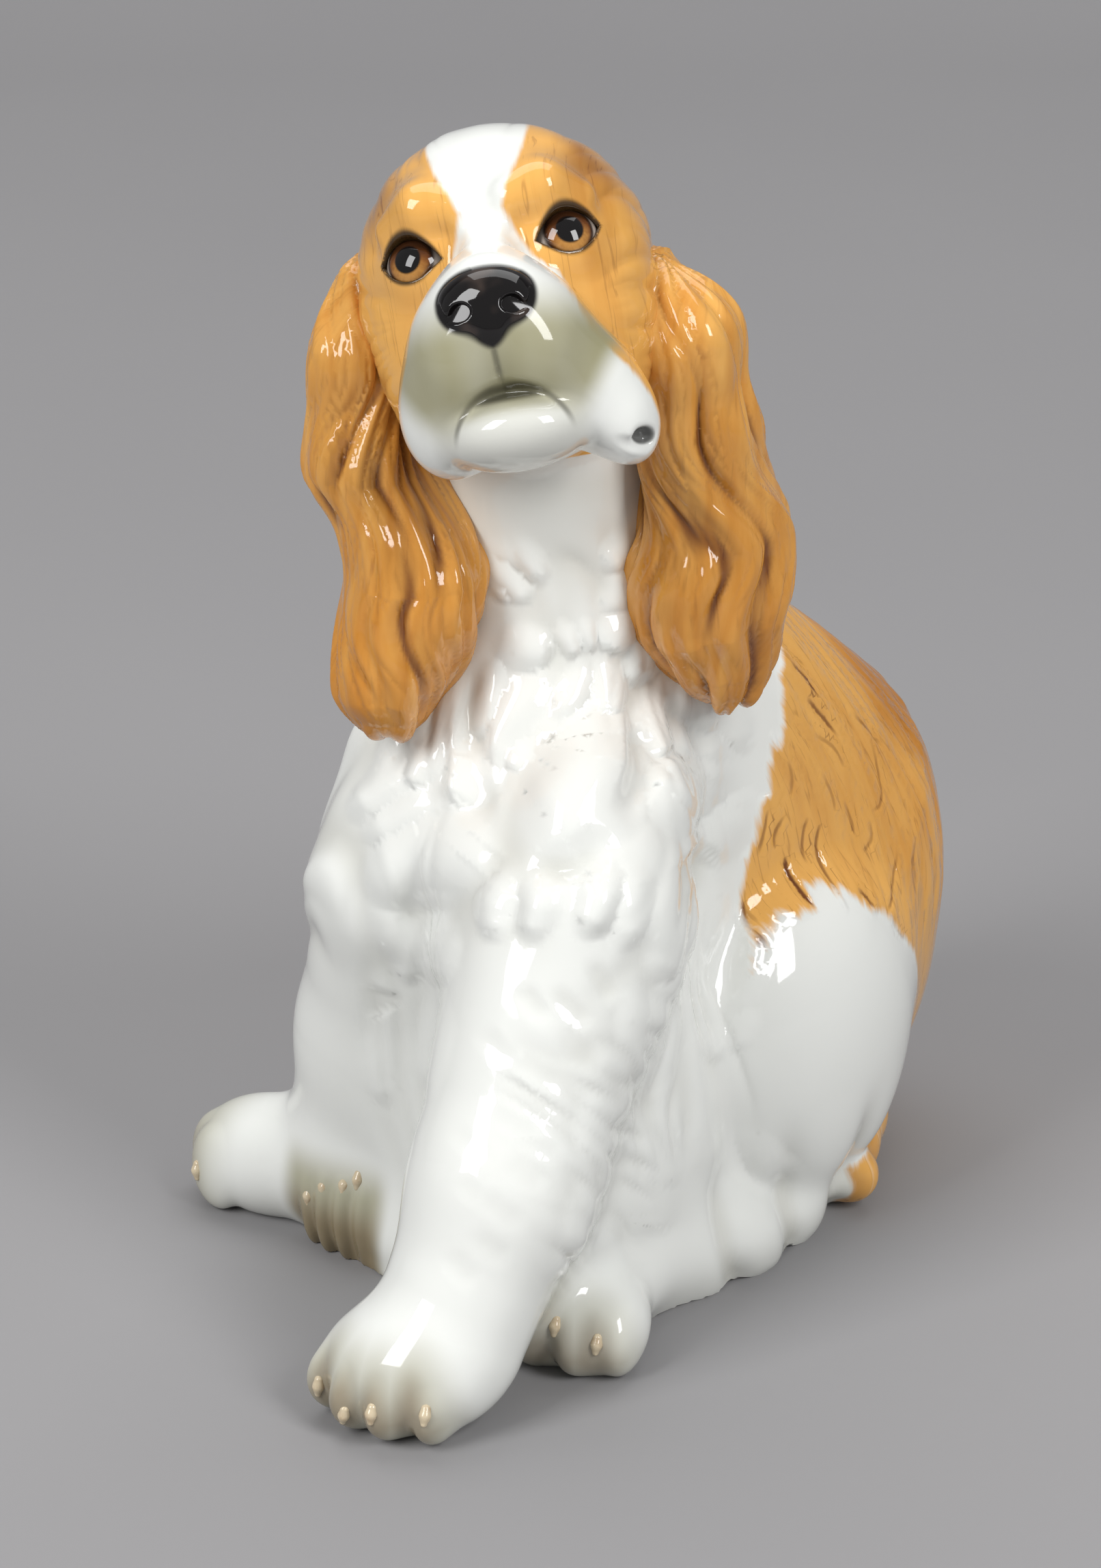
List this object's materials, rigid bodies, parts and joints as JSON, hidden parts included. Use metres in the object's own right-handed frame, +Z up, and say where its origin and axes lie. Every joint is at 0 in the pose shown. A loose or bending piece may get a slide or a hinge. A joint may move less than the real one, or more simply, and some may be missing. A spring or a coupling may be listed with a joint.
{
  "type": "animal figurine",
  "caption": "Glazed porcelain figurine of a sitting long-eared spaniel puppy looking up, hollow inside, with a flat base to stand on.",
  "frame": {"origin": "on the table plane, under the chest, on the flat base of the torso", "axes": "+Z up, -Y the way the chest faces, +X the dog's own left side"},
  "size_m": [0.1569, 0.2486, 0.2854],
  "materials": {
    "torso": "clear glaze over hand painting",
    "head": "clear glaze over hand painting",
    "left_ear": "clear glaze over hand painting",
    "right_ear": "clear glaze over hand painting",
    "left_foreleg": "clear glaze over hand painting",
    "right_foreleg": "clear glaze over hand painting",
    "left_hind_foot": "clear glaze over hand painting",
    "right_hind_foot": "clear glaze over hand painting",
    "tail": "clear glaze over hand painting"
  },
  "bodies": {
    "root": {"torso": "torso", "head": "head", "left_ear": "left_ear", "right_ear": "right_ear", "left_foreleg": "left_foreleg", "right_foreleg": "right_foreleg", "left_hind_foot": "left_hind_foot", "right_hind_foot": "right_hind_foot", "tail": "tail"}
  },
  "joints": []
}
